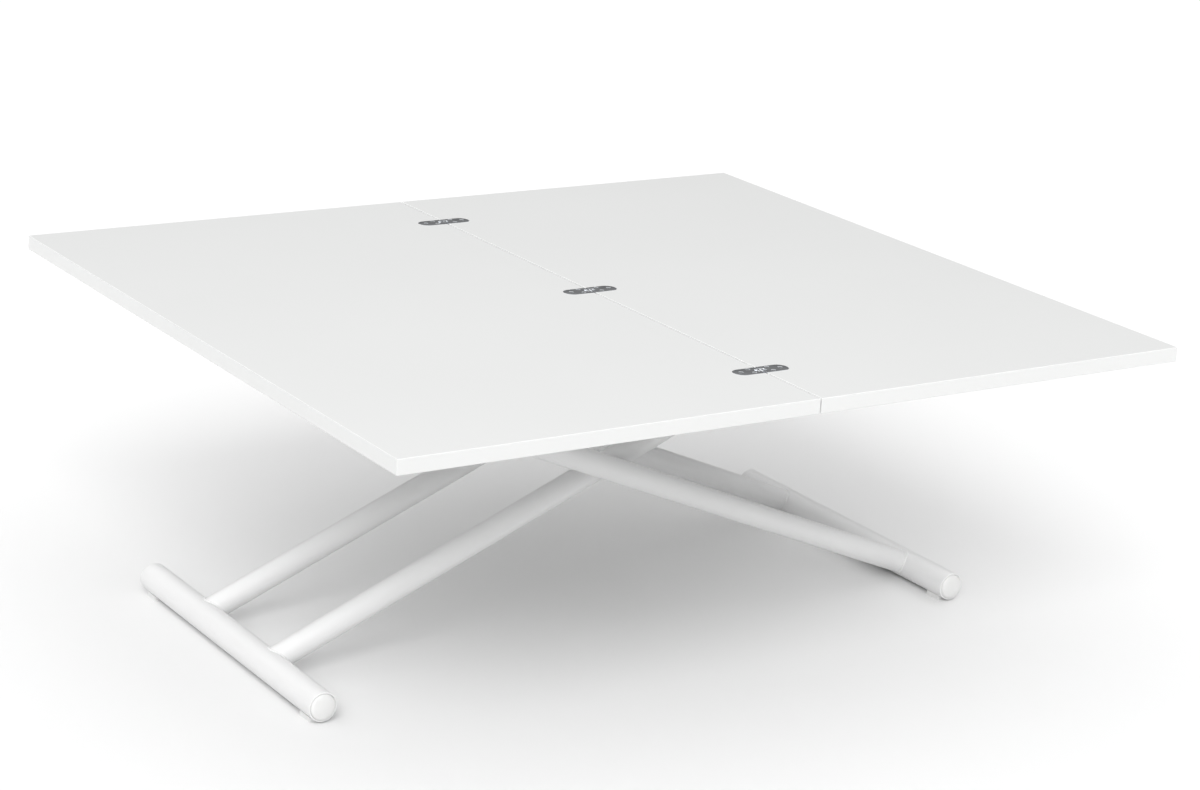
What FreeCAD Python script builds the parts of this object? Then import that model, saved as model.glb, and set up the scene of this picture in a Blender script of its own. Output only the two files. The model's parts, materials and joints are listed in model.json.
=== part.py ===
"""Lift-top coffee table: two lacquered leaves on a scissor base of white steel tube.

Frame: X runs across the seam between the leaves, Y runs along the seam, Z is up.
The origin is on the floor under the middle of the opened top.  All lengths are in
millimetres and all angles in degrees.  The table is drawn lowered and opened out.

The inner pair of legs rises from the left foot bar to a fixed hinge on the sub-frame.
The outer pair rises from the right foot bar to two blocks that slide in the rails.
"""
import FreeCAD, Part
import math
import os
from FreeCAD import Vector

# --- top ---------------------------------------------------------------------------
TOP_LENGTH = 1140.0         # X, both leaves opened out
TOP_WIDTH = 1000.0          # Y, along the seam
TOP_HEIGHT = 425.0          # Z of the top surface when lowered
LEAF_THICKNESS = 19.0
LEAF_EDGE_ROUND = 1.0
SEAM_GAP = 1.8

# --- scissor base ------------------------------------------------------------------
LEG_ANGLE = 22.2            # legs above the floor when lowered
LIFT_ANGLE = 23.3           # how much steeper the legs stand when raised
BASE_CENTRE_X = -19.0
FOOT_SPAN = 968.0           # between the two foot bar axes
FOOT_AXIS_Z = 21.0
UPPER_PIVOT_Z = 385.0
FOOT_RADIUS = 19.0
FOOT_WALL = 2.0
FOOT_HALF_LENGTH = 236.0
LEG_RADIUS = 16.0
LEG_WALL = 1.5
INNER_LEG_Y = 90.0
OUTER_LEG_Y = 137.0
END_TUBE_RADIUS = 16.5      # cross tubes at the upper ends of the legs
END_TUBE_WALL = 2.0
RUNNING = 0.05              # radial clearance of a shaft in its bore
GAP = 0.3                   # clearance between faces that pass each other

# --- sub-frame ---------------------------------------------------------------------
RAIL_INNER_Y = 158.0
RAIL_OUTER_Y = 185.0
RAIL_HALF_HEIGHT = 15.5
RAIL_WALL = 2.5
RAIL_LEFT_X = -472.0
RAIL_RIGHT_X = 436.0
BEAM_WIDTH = 24.0
BEAM_HALF_HEIGHT = 14.0
BEAM_WALL = 2.0

# --- flap hinges let into the top surface ------------------------------------------
HINGE_Y = (-378.0, 0.0, 378.0)
HINGE_REACH = 39.5          # from the seam to the rounded end of a plate
HINGE_HALF_WIDTH = 12.5
HINGE_THICKNESS = 5.0
HINGE_PIN_OFFSET = 2.5      # each pin from the seam
HINGE_PIN_DEPTH = 2.2       # each pin below the top surface
HINGE_PIN_RADIUS = 0.9
HINGE_PIN_HALF_LENGTH = 9.5
LINK_RADIUS = 2.1
LINK_HALF_WIDTH = 3.7
LINK_DRAW = 2 * HINGE_PIN_OFFSET * (math.sqrt(2) - 1)  # travel of the folding pin along the link
SLOT_HALF_WIDTH = 4.0
SLOT_REACH = 7.3            # of a link's slot from the seam
LINK_POCKET_DEPTH = 6.9     # of the board under a link, below the top surface

# --- swivel of the top on the sub-frame --------------------------------------------
SWIVEL_X = -152.0
SWIVEL_Y = 133.0
SWIVEL_STUD_RADIUS = 6.0
SWIVEL_BUSH_RADIUS = 9.0
SWIVEL_PLATE_HALF = 60.0
SWIVEL_PLATE_THICKNESS = 3.0
STOP_RADIUS = 38.0          # of the stop pin about the swivel
STOP_PIN_RADIUS = 3.0

# --- gas spring and its release ----------------------------------------------------
SPRING_ARM = 170.0          # from the fixed hinge to each end of the gas spring
SPRING_UPPER_ANGLE = 187.8  # upper end, about the fixed hinge
SPRING_LOWER_ANGLE = 243.8  # lower end when the table is lowered
CYLINDER_RADIUS = 11.0
CYLINDER_BORE = 9.5
ROD_RADIUS = 4.0
SPRING_PIN_RADIUS = 4.0
EAR_INNER_Y = 12.0
EAR_OUTER_Y = 17.0
VALVE_TIP = 22.0            # release pin's tip from the upper end's axis
FINGER_REACH = 24.0         # from the lever shaft to the release pin
LEVER_SHAFT_RADIUS = 5.0

# --- derived places ----------------------------------------------------------------
SIDES = (-1, 1)
LEFT, RIGHT = -1, 1
TURN = math.radians(LEG_ANGLE)
LOWER_ARM = FOOT_SPAN / 2 / math.cos(TURN)
UPPER_ARM = (UPPER_PIVOT_Z - FOOT_AXIS_Z) / math.sin(TURN) - LOWER_ARM
PIVOT = (BASE_CENTRE_X, FOOT_AXIS_Z + LOWER_ARM * math.sin(TURN))
LEFT_FOOT = (BASE_CENTRE_X - FOOT_SPAN / 2, FOOT_AXIS_Z)
RIGHT_FOOT = (BASE_CENTRE_X + FOOT_SPAN / 2, FOOT_AXIS_Z)
HINGE = (BASE_CENTRE_X + UPPER_ARM * math.cos(TURN), UPPER_PIVOT_Z)
SLIDER = (BASE_CENTRE_X - UPPER_ARM * math.cos(TURN), UPPER_PIVOT_Z)
LEAF_BOTTOM = TOP_HEIGHT - LEAF_THICKNESS
RAIL_TOP = UPPER_PIVOT_Z + RAIL_HALF_HEIGHT
RAIL_BOTTOM = UPPER_PIVOT_Z - RAIL_HALF_HEIGHT


def polar(centre, radius, angle):
    """Point of the XZ plane at an angle above +X about a centre."""
    turn = math.radians(angle)
    return (centre[0] + radius * math.cos(turn), centre[1] + radius * math.sin(turn))


SPRING_UPPER = polar(HINGE, SPRING_ARM, SPRING_UPPER_ANGLE)
SPRING_LOWER = polar(HINGE, SPRING_ARM, SPRING_LOWER_ANGLE)
SPRING_LENGTH = math.dist(SPRING_UPPER, SPRING_LOWER)
SPRING_DIRECTION = math.degrees(
    math.atan2(SPRING_LOWER[1] - SPRING_UPPER[1], SPRING_LOWER[0] - SPRING_UPPER[0])
)
# The gas spring turns half as far as the legs, so the release finger lies square to
# the release pin at the middle of the lift.
VALVE_DIRECTION = SPRING_DIRECTION + 180 + LIFT_ANGLE / 4
LEVER_SHAFT = polar(
    polar(SPRING_UPPER, VALVE_TIP, VALVE_DIRECTION), -FINGER_REACH, VALVE_DIRECTION - 90
)


# --- scissor pivot -----------------------------------------------------------------
SLEEVE_RADIUS = 9.0
PIVOT_BUSH_RADIUS = 7.0
PIVOT_BOLT_RADIUS = 5.0
SLEEVE_PROUD = 0.5
INNER_SLEEVE = (INNER_LEG_Y - LEG_RADIUS - SLEEVE_PROUD, INNER_LEG_Y + LEG_RADIUS + SLEEVE_PROUD)
OUTER_BOSS = (OUTER_LEG_Y - LEG_RADIUS - SLEEVE_PROUD, OUTER_LEG_Y + 11.0)

# --- upper end tubes and their bearings --------------------------------------------
HINGE_TUBE_HALF = INNER_LEG_Y + LEG_RADIUS
SLIDER_TUBE_HALF = OUTER_LEG_Y + LEG_RADIUS
HINGE_SHAFT_RADIUS = 6.0
FLANGE = 1.5
LEVER_PLATE_Y = (14.0, 19.0)
STUD_RADIUS = 6.0
BLOCK_Y = (160.8, RAIL_OUTER_Y - RAIL_WALL - GAP)
BRACKET_Y = (HINGE_TUBE_HALF + FLANGE + 0.5, HINGE_TUBE_HALF + FLANGE + 5.5)

# --- plates and beams of the sub-frame ---------------------------------------------
SWIVEL_CROSS_X = (-200.0, -104.0)
SWIVEL_CROSS_THICKNESS = 4.0
SPRING_BEAM_X = (SPRING_UPPER[0] - 6.5, SPRING_UPPER[0] + 33.5)
SPRING_BEAM_BOTTOM = RAIL_TOP - 14.0
LEVER_BRACKET_Y = ((-170.0, -166.0), (-28.0, -24.0))

# --- gas spring, measured along it from its upper end ------------------------------
HEAD_HALF_WIDTH = EAR_INNER_Y - 0.5
HEAD_LENGTH = 16.0
CYLINDER_TOP = 24.0
CYLINDER_FOOT = SPRING_LENGTH - 14.0
GLAND_LENGTH = 10.0
PISTON = (92.0, 102.0)
VALVE_RADIUS = 1.5

# --- release lever -----------------------------------------------------------------
LEVER_END_Y = -238.0
LEVER_ARM_Y = (-236.0, -232.0)
LEVER_LENGTH = 105.0
GRIP_LENGTH = 62.0
GRIP_RADIUS = 8.5

# --- swivel nut --------------------------------------------------------------------
SWIVEL_NUT_TOP = RAIL_TOP - SWIVEL_CROSS_THICKNESS - GAP - 1.8


# --- small shapes ------------------------------------------------------------------
def block(x0, x1, y0, y1, z0, z1):
    """Box between opposite corners given in any order."""
    low = Vector(min(x0, x1), min(y0, y1), min(z0, z1))
    return Part.makeBox(abs(x1 - x0), abs(y1 - y0), abs(z1 - z0), low)


def rod(start, end, radius):
    """Cylinder between two points."""
    start, end = Vector(*start), Vector(*end)
    return Part.makeCylinder(radius, start.distanceToPoint(end), start, end - start)


def rod_y(place, y0, y1, radius):
    """Cylinder along Y at a place of the XZ plane."""
    return rod((place[0], y0, place[1]), (place[0], y1, place[1]), radius)


def ring_y(place, y0, y1, outer, inner):
    """Tube along Y at a place of the XZ plane."""
    return rod_y(place, y0, y1, outer).cut(rod_y(place, y0, y1, inner))


def rod_z(x, y, z0, z1, radius):
    """Upright cylinder."""
    return rod((x, y, z0), (x, y, z1), radius)


def strap(start, end, start_radius, end_radius, y0, y1):
    """Flat plate along Y whose outline wraps two circles of the XZ plane."""
    length = math.dist(start, end)
    along = ((end[0] - start[0]) / length, (end[1] - start[1]) / length)
    slope = (start_radius - end_radius) / length
    rise = math.sqrt(1 - slope * slope)
    points = []
    for centre, radius, side in (
        (start, start_radius, 1),
        (end, end_radius, 1),
        (end, end_radius, -1),
        (start, start_radius, -1),
    ):
        nx = along[0] * slope - along[1] * rise * side
        nz = along[1] * slope + along[0] * rise * side
        points.append(Vector(centre[0] + nx * radius, y0, centre[1] + nz * radius))
    face = Part.Face(Part.makePolygon(points + [points[0]]))
    body = face.extrude(Vector(0, y1 - y0, 0))
    body = body.fuse(rod_y(start, y0, y1, start_radius))
    body = body.fuse(rod_y(end, y0, y1, end_radius))
    return body.removeSplitter()


def box_tube(x0, x1, y0, y1, z0, z1, wall):
    """Rectangular tube along Y."""
    inside = block(x0 + wall, x1 - wall, y0 - 1, y1 + 1, z0 + wall, z1 - wall)
    return block(x0, x1, y0, y1, z0, z1).cut(inside)


def screw(x, y, head_z, length, head_radius, shank_radius, up):
    """Countersunk screw and its plain envelope; the head is flush at head_z."""
    head_height = head_radius - shank_radius
    way = Vector(0, 0, up)
    foot = Vector(x, y, head_z)
    cone = Part.makeCone(head_radius, shank_radius, head_height, foot, way)
    shank = Part.makeCylinder(shank_radius, length - head_height, foot + way * head_height, way)
    envelope = cone.fuse(shank).removeSplitter()
    wing, width, depth = head_radius * 0.55, head_radius * 0.16, head_height * 0.7
    cross = block(x - wing, x + wing, y - width, y + width, head_z, head_z + up * depth)
    cross = cross.fuse(block(x - width, x + width, y - wing, y + wing, head_z, head_z + up * depth))
    return envelope.cut(cross), envelope


def hexagon_y(place, y0, y1, across):
    """Hexagonal nut along Y."""
    points = []
    for step in range(7):
        x, z = polar(place, across / math.sqrt(3), 60 * step)
        points.append(Vector(x, y0, z))
    return Part.Face(Part.makePolygon(points)).extrude(Vector(0, y1 - y0, 0))


def group(solids):
    """Separate solids that share one node."""
    return solids[0] if len(solids) == 1 else Part.makeCompound(solids)


def save(name, shape):
    """Write one node."""
    shape.exportStep(os.path.join("parts", name + ".step"))
    print(name, len(shape.Solids), round(shape.Volume), shape.isValid())


# --- feet --------------------------------------------------------------------------
def foot_bar(foot):
    """Tube that lies across the floor at the foot of a pair of legs."""
    return ring_y(foot, -FOOT_HALF_LENGTH, FOOT_HALF_LENGTH, FOOT_RADIUS, FOOT_RADIUS - FOOT_WALL)


def foot_caps(foot):
    """Domed plugs in both ends of a foot bar."""
    plug_radius = FOOT_RADIUS - FOOT_WALL
    plug_depth, dome_height, ledge = 15.0, 4.0, 0.4
    dome_foot = plug_radius - ledge
    dome_radius = (dome_foot ** 2 + dome_height ** 2) / (2 * dome_height)
    half_turn = math.asin(dome_foot / dome_radius) / 2
    caps = []
    for side in SIDES:
        def at(radius, beyond):
            return Vector(foot[0] + radius, side * (FOOT_HALF_LENGTH + beyond), foot[1])

        middle = at(
            dome_radius * math.sin(half_turn),
            dome_height - dome_radius * (1 - math.cos(half_turn)),
        )
        outline = Part.Wire([
            Part.makeLine(at(0, dome_height), at(0, -plug_depth)),
            Part.makeLine(at(0, -plug_depth), at(plug_radius, -plug_depth)),
            Part.makeLine(at(plug_radius, -plug_depth), at(plug_radius, 0)),
            Part.makeLine(at(plug_radius, 0), at(dome_foot, 0)),
            Part.Arc(at(dome_foot, 0), middle, at(0, dome_height)).toShape(),
        ])
        axis = Vector(0, side, 0)
        caps.append(Part.Face(outline).revolve(Vector(foot[0], 0, foot[1]), axis, 360))
    return group(caps)


def foot_glides(foot):
    """Nylon saddles that lie flat on the floor while the bar turns in them."""
    half_width, height = 13.0, 7.0
    near, far = FOOT_HALF_LENGTH - 34.0, FOOT_HALF_LENGTH - 10.0
    glides = []
    for side in SIDES:
        pad = block(foot[0] - half_width, foot[0] + half_width, side * near, side * far, 0, height)
        saddle = rod_y(foot, -TOP_WIDTH, TOP_WIDTH, FOOT_RADIUS + GAP)
        glides.append(pad.cut(saddle))
    return group(glides)


# --- legs --------------------------------------------------------------------------
def leg(foot, upper, y, hole_y):
    """Round leg, notched over its foot bar and upper cross tube, with a pivot hole."""
    start, end = (foot[0], y, foot[1]), (upper[0], y, upper[1])
    low, high = y - 2 * LEG_RADIUS, y + 2 * LEG_RADIUS
    tube = rod(start, end, LEG_RADIUS).cut(rod(start, end, LEG_RADIUS - LEG_WALL))
    tube = tube.cut(rod_y(foot, low, high, FOOT_RADIUS))
    tube = tube.cut(rod_y(upper, low, high, END_TUBE_RADIUS))
    return tube.cut(rod_y(PIVOT, *hole_y, SLEEVE_RADIUS))


def inner_leg(side):
    """Inner leg with a sleeve hole right through it at the scissor pivot."""
    hole = (side * (INNER_LEG_Y - 2 * LEG_RADIUS), side * (INNER_LEG_Y + 2 * LEG_RADIUS))
    return leg(LEFT_FOOT, HINGE, side * INNER_LEG_Y, hole)


def outer_leg(side):
    """Outer leg with a boss hole in its inner side only."""
    hole = (side * (OUTER_LEG_Y - 2 * LEG_RADIUS), side * OUTER_LEG_Y)
    return leg(RIGHT_FOOT, SLIDER, side * OUTER_LEG_Y, hole)


def inner_pivot_sleeves():
    """Steel sleeves welded through the inner legs."""
    low, high = INNER_SLEEVE
    return group([ring_y(PIVOT, s * low, s * high, SLEEVE_RADIUS, PIVOT_BUSH_RADIUS) for s in SIDES])


def inner_pivot_bushes():
    """Nylon bushes that the pivot bolts turn in."""
    low, high = INNER_SLEEVE
    bore = PIVOT_BOLT_RADIUS + RUNNING
    return group([ring_y(PIVOT, s * low, s * high, PIVOT_BUSH_RADIUS, bore) for s in SIDES])


def pivot_spacers():
    """Nylon rings that keep the inner and outer legs apart."""
    low, high = INNER_SLEEVE[1], OUTER_BOSS[0] - GAP
    bore = PIVOT_BOLT_RADIUS + RUNNING
    return group([ring_y(PIVOT, s * low, s * high, SLEEVE_RADIUS + 3, bore) for s in SIDES])


def outer_pivot_bosses():
    """Threaded bosses welded into the inner sides of the outer legs."""
    low, high = OUTER_BOSS
    return group([ring_y(PIVOT, s * low, s * high, SLEEVE_RADIUS, PIVOT_BOLT_RADIUS) for s in SIDES])


def pivot_bolts():
    """Button-head shoulder bolts, put in from between the legs."""
    head_radius, head_height, key_across, key_depth = 9.5, 5.0, 6.0, 3.0
    face, tip = INNER_SLEEVE[0] - GAP, OUTER_BOSS[1] - 2.0
    bolts = []
    for side in SIDES:
        bolt = rod_y(PIVOT, side * face, side * tip, PIVOT_BOLT_RADIUS)
        start = side * (face - head_height)
        head = rod_y(PIVOT, start, side * face, head_radius)
        bolt = bolt.fuse(head).removeSplitter()
        bolts.append(bolt.cut(hexagon_y(PIVOT, start, start + side * key_depth, key_across)))
    return group(bolts)


def end_tube(place, half_length):
    """Cross tube that joins the upper ends of a pair of legs."""
    bore = END_TUBE_RADIUS - END_TUBE_WALL
    return ring_y(place, -half_length, half_length, END_TUBE_RADIUS, bore)


def hinge_bushes():
    """Flanged nylon bushes in both ends of the hinge tube."""
    bore, depth = HINGE_SHAFT_RADIUS + RUNNING, 14.0
    bushes = []
    for side in SIDES:
        end = side * HINGE_TUBE_HALF
        inside = END_TUBE_RADIUS - END_TUBE_WALL
        bush = rod_y(HINGE, end - side * depth, end, inside)
        bush = bush.fuse(rod_y(HINGE, end, end + side * FLANGE, inside + 1)).removeSplitter()
        bushes.append(bush.cut(rod_y(HINGE, -TOP_WIDTH, TOP_WIDTH, bore)))
    return group(bushes)


def spring_lever_plates():
    """Two arms on the hinge tube that carry the lower end of the gas spring."""
    low, high = LEVER_PLATE_Y
    plates = []
    for side in SIDES:
        plate = strap(HINGE, SPRING_LOWER, END_TUBE_RADIUS + 3, 12.0, side * low, side * high)
        plate = plate.cut(rod_y(HINGE, side * low, side * high, END_TUBE_RADIUS))
        plates.append(plate.cut(rod_y(SPRING_LOWER, side * low, side * high, SPRING_PIN_RADIUS)))
    return group(plates)


def spring_lower_pin():
    """Headed pin through the lower eye of the gas spring."""
    high = LEVER_PLATE_Y[1]
    pin = rod_y(SPRING_LOWER, -high - 2.5, high + 5.0, SPRING_PIN_RADIUS)
    pin = pin.fuse(rod_y(SPRING_LOWER, -high - 2.5, -high, 6.5))
    return pin.fuse(rod_y(SPRING_LOWER, high, high + 1.5, 6.0)).removeSplitter()


def slider_studs():
    """Plugs in the ends of the slider tube with the studs that carry the blocks."""
    studs = []
    for side in SIDES:
        end = side * SLIDER_TUBE_HALF
        plug = rod_y(SLIDER, end - side * 13, end, END_TUBE_RADIUS - END_TUBE_WALL)
        stud = rod_y(SLIDER, end, side * (BLOCK_Y[1] - 1), STUD_RADIUS)
        studs.append(plug.fuse(stud).removeSplitter())
    return group(studs)


def slide_blocks():
    """Nylon blocks that run along the rails."""
    half_length, half_height = 18.0, RAIL_HALF_HEIGHT - RAIL_WALL - 0.4
    blocks = []
    for side in SIDES:
        low, high = side * BLOCK_Y[0], side * BLOCK_Y[1]
        shape = block(
            SLIDER[0] - half_length, SLIDER[0] + half_length, low, high,
            SLIDER[1] - half_height, SLIDER[1] + half_height,
        )
        ends = [e for e in shape.Edges if abs(e.Vertexes[0].Y - e.Vertexes[1].Y) > 1]
        shape = shape.makeFillet(3.0, ends)
        blocks.append(shape.cut(rod_y(SLIDER, low, high, STUD_RADIUS + RUNNING)))
    return group(blocks)


# --- sub-frame ---------------------------------------------------------------------
def rail(side):
    """Channel along X, open towards the legs."""
    low, high = side * RAIL_INNER_Y, side * RAIL_OUTER_Y
    shape = block(RAIL_LEFT_X, RAIL_RIGHT_X, low, high, RAIL_BOTTOM, RAIL_TOP)
    return shape.cut(block(
        RAIL_LEFT_X - 1, RAIL_RIGHT_X + 1, low - side, high - side * RAIL_WALL,
        RAIL_BOTTOM + RAIL_WALL, RAIL_TOP - RAIL_WALL,
    ))


def cross_member(x0, x1):
    """Rectangular tube between the rails at one end."""
    low, high = UPPER_PIVOT_Z - BEAM_HALF_HEIGHT, UPPER_PIVOT_Z + BEAM_HALF_HEIGHT
    return box_tube(x0, x1, -RAIL_INNER_Y, RAIL_INNER_Y, low, high, BEAM_WALL)


def hinge_brackets():
    """Plates that carry the fixed hinge shaft off the right cross member."""
    brackets = []
    for side in SIDES:
        low, high = side * BRACKET_Y[0], side * BRACKET_Y[1]
        plate = rod_y(HINGE, low, high, BEAM_HALF_HEIGHT)
        plate = plate.fuse(block(
            HINGE[0], RAIL_RIGHT_X - BEAM_WIDTH, low, high,
            UPPER_PIVOT_Z - BEAM_HALF_HEIGHT, UPPER_PIVOT_Z + BEAM_HALF_HEIGHT,
        )).removeSplitter()
        brackets.append(plate.cut(rod_y(HINGE, low, high, HINGE_SHAFT_RADIUS)))
    return group(brackets)


def hinge_shaft():
    """Shaft through both brackets."""
    return rod_y(HINGE, -BRACKET_Y[1] - 8, BRACKET_Y[1] + 8, HINGE_SHAFT_RADIUS)


def hinge_shaft_nuts():
    """Nuts on both ends of the hinge shaft."""
    nuts = []
    for side in SIDES:
        low, high = side * BRACKET_Y[1], side * (BRACKET_Y[1] + 6)
        nuts.append(hexagon_y(HINGE, low, high, 19.0).cut(rod_y(HINGE, low, high, HINGE_SHAFT_RADIUS)))
    return group(nuts)


def arc_slot(start_angle, end_angle, half_width, z0, z1):
    """Slot that follows a circle about the swivel."""
    span = end_angle - start_angle
    ring = rod_z(SWIVEL_X, SWIVEL_Y, z0, z1, STOP_RADIUS + half_width)
    ring = ring.cut(rod_z(SWIVEL_X, SWIVEL_Y, z0, z1, STOP_RADIUS - half_width))
    sector = Part.makeCylinder(
        2 * STOP_RADIUS, z1 - z0, Vector(SWIVEL_X, SWIVEL_Y, z0), Vector(0, 0, 1), span
    )
    sector.rotate(Vector(SWIVEL_X, SWIVEL_Y, 0), Vector(0, 0, 1), start_angle)
    slot = ring.common(sector)
    for angle in (start_angle, end_angle):
        x, y = polar((SWIVEL_X, SWIVEL_Y), STOP_RADIUS, angle)
        slot = slot.fuse(rod_z(x, y, z0, z1, half_width))
    return slot


def swivel_cross_plate():
    """Plate between the rails that the top swivels on, with the stop pin's slot."""
    low, high = RAIL_TOP - SWIVEL_CROSS_THICKNESS, RAIL_TOP
    plate = block(*SWIVEL_CROSS_X, -RAIL_INNER_Y, RAIL_INNER_Y, low, high)
    plate = plate.cut(rod_z(SWIVEL_X, SWIVEL_Y, low, high, SWIVEL_BUSH_RADIUS))
    return plate.cut(arc_slot(180, 270, STOP_PIN_RADIUS + 0.4, low - 1, high + 1))


def swivel_bush():
    """Flanged nylon bush in the swivel cross plate."""
    flange_top = LEAF_BOTTOM - SWIVEL_PLATE_THICKNESS - GAP
    bush = rod_z(SWIVEL_X, SWIVEL_Y, RAIL_TOP - SWIVEL_CROSS_THICKNESS, RAIL_TOP, SWIVEL_BUSH_RADIUS)
    bush = bush.fuse(rod_z(SWIVEL_X, SWIVEL_Y, RAIL_TOP, flange_top, 18.0)).removeSplitter()
    return bush.cut(rod_z(SWIVEL_X, SWIVEL_Y, 0, TOP_HEIGHT, SWIVEL_STUD_RADIUS + RUNNING))


def leaf_support_pads():
    """Nylon discs on the rails that the leaves rest and slide on."""
    rail_middle = (RAIL_INNER_Y + RAIL_OUTER_Y) / 2
    pads = []
    for x in (RAIL_LEFT_X + 60, 60.0, RAIL_RIGHT_X - 60):
        for side in SIDES:
            pads.append(rod_z(x, side * rail_middle, RAIL_TOP, LEAF_BOTTOM - GAP, 12.0))
    return group(pads)


def spring_bracket():
    """Beam between the rails with two ears for the upper end of the gas spring."""
    x0, x1 = SPRING_BEAM_X
    beam = box_tube(x0, x1, -RAIL_INNER_Y, RAIL_INNER_Y, SPRING_BEAM_BOTTOM, RAIL_TOP, BEAM_WALL)
    for side in SIDES:
        low, high = side * EAR_INNER_Y, side * EAR_OUTER_Y
        root = (x0 + 12.0, SPRING_BEAM_BOTTOM)
        ear = strap(SPRING_UPPER, root, 11.0, 12.0, low, high)
        ear = ear.cut(block(x0 - 20, x1, low, high, SPRING_BEAM_BOTTOM, RAIL_TOP + 20))
        ear = ear.cut(rod_y(SPRING_UPPER, low, high, SPRING_PIN_RADIUS))
        beam = beam.fuse(ear)
    return beam.removeSplitter()


def spring_trunnion_screws():
    """Shoulder screws through the ears into the release head."""
    screws = []
    for side in SIDES:
        tip, outer = side * (EAR_INNER_Y - 5.5), side * EAR_OUTER_Y
        pin = rod_y(SPRING_UPPER, tip, outer, SPRING_PIN_RADIUS)
        head = rod_y(SPRING_UPPER, outer, outer + side * 4, 6.5)
        key = hexagon_y(SPRING_UPPER, outer + side * 1.5, outer + side * 4, 4.0)
        screws.append(pin.fuse(head).removeSplitter().cut(key))
    return group(screws)


def lever_brackets():
    """Plates that carry the lever shaft, one off the near rail, one off the beam."""
    (y0, y1), (y2, y3) = LEVER_BRACKET_Y
    x, z = LEVER_SHAFT
    ring = 10.0
    outer = rod_y(LEVER_SHAFT, y0, y1, ring)
    outer = outer.fuse(block(x - ring, x + ring, y0, y1, z, RAIL_BOTTOM))
    outer = outer.cut(block(x - 2 * ring, x + 2 * ring, y0, y1, RAIL_BOTTOM, RAIL_TOP))
    inner = rod_y(LEVER_SHAFT, y2, y3, ring)
    inner = inner.fuse(block(x - ring, SPRING_BEAM_X[0] + 16, y2, y3, z, SPRING_BEAM_BOTTOM))
    bore = rod_y(LEVER_SHAFT, y0 - 1, y3 + 1, LEVER_SHAFT_RADIUS + RUNNING)
    return group([outer.removeSplitter().cut(bore), inner.removeSplitter().cut(bore)])


# --- gas spring --------------------------------------------------------------------
def on_spring(distance):
    """Point on the gas spring's axis, at a distance below its upper end."""
    return polar(SPRING_UPPER, distance, SPRING_DIRECTION)


def spring_piece(start, end, radius):
    """Cylinder on the gas spring's axis between two distances from its upper end."""
    a, b = on_spring(start), on_spring(end)
    return rod((a[0], 0, a[1]), (b[0], 0, b[1]), radius)


def spring_rod():
    """Plated rod, from the release head to the piston."""
    return spring_piece(6.0, PISTON[1], ROD_RADIUS)


def spring_piston():
    """Piston on the lower end of the rod."""
    disc = spring_piece(*PISTON, CYLINDER_BORE - 0.5)
    return disc.cut(spring_piece(PISTON[0] - 1, PISTON[1] + 1, ROD_RADIUS))


def spring_head():
    """Release head: a block on the rod's end that turns on the trunnion screws."""
    head = Part.makeBox(HEAD_LENGTH + 10, 2 * HEAD_HALF_WIDTH, 16.0, Vector(-10, -HEAD_HALF_WIDTH, -8))
    head = head.makeFillet(2.0, [e for e in head.Edges if abs(e.Vertexes[0].Y - e.Vertexes[1].Y) > 1])
    head.rotate(Vector(0, 0, 0), Vector(0, -1, 0), SPRING_DIRECTION)
    head.translate(Vector(SPRING_UPPER[0], 0, SPRING_UPPER[1]))
    head = head.cut(spring_piece(6.0, HEAD_LENGTH + 1, ROD_RADIUS))
    head = head.cut(spring_piece(-11.0, 6.0, VALVE_RADIUS + GAP))
    for side in SIDES:
        bore = SPRING_PIN_RADIUS + RUNNING
        head = head.cut(rod_y(SPRING_UPPER, side * (EAR_INNER_Y - 6), side * EAR_INNER_Y, bore))
    return head


def release_pin():
    """Valve pin that stands out of the release head."""
    return spring_piece(-VALVE_TIP, -1.0, VALVE_RADIUS)


def spring_cylinder():
    """Pressure tube, closed at its foot."""
    tube = spring_piece(CYLINDER_TOP, CYLINDER_FOOT, CYLINDER_RADIUS)
    return tube.cut(spring_piece(CYLINDER_TOP - 1, CYLINDER_FOOT - 3, CYLINDER_BORE))


def spring_gland():
    """Guide and seal carrier that the rod passes through."""
    ring = spring_piece(CYLINDER_TOP, CYLINDER_TOP + GLAND_LENGTH, CYLINDER_BORE)
    return ring.cut(spring_piece(CYLINDER_TOP - 1, CYLINDER_TOP + GLAND_LENGTH + 1, ROD_RADIUS + GAP))


def spring_eye():
    """Eye on the cylinder's foot."""
    half_width = LEVER_PLATE_Y[0] - 1.0
    eye = rod_y(SPRING_LOWER, -half_width, half_width, 9.0)
    neck = spring_piece(CYLINDER_FOOT, SPRING_LENGTH, 7.0)
    eye = eye.fuse(neck).removeSplitter()
    return eye.cut(rod_y(SPRING_LOWER, -half_width - 1, half_width + 1, SPRING_PIN_RADIUS + RUNNING))


# --- release lever -----------------------------------------------------------------


def lever_shaft():
    """Cross shaft with the finger that presses the release pin."""
    shaft = rod_y(LEVER_SHAFT, LEVER_END_Y, 8.0, LEVER_SHAFT_RADIUS)
    finger = Part.makeBox(FINGER_REACH + 6, 8.0, 4.0, Vector(0, -4, VALVE_TIP + 0.4))
    finger.translate(Vector(-FINGER_REACH, 0, 0))
    finger.rotate(Vector(0, 0, 0), Vector(0, -1, 0), VALVE_DIRECTION - 90)
    finger.translate(Vector(SPRING_UPPER[0], 0, SPRING_UPPER[1]))
    return shaft.fuse(finger).removeSplitter()


def lever_arm():
    """Flat arm on the near end of the lever shaft."""
    low, high = LEVER_ARM_Y
    tip = (LEVER_SHAFT[0] - LEVER_LENGTH, LEVER_SHAFT[1])
    arm = strap(LEVER_SHAFT, tip, 10.0, 5.0, low, high)
    return arm.cut(rod_y(LEVER_SHAFT, low, high, LEVER_SHAFT_RADIUS))


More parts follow.
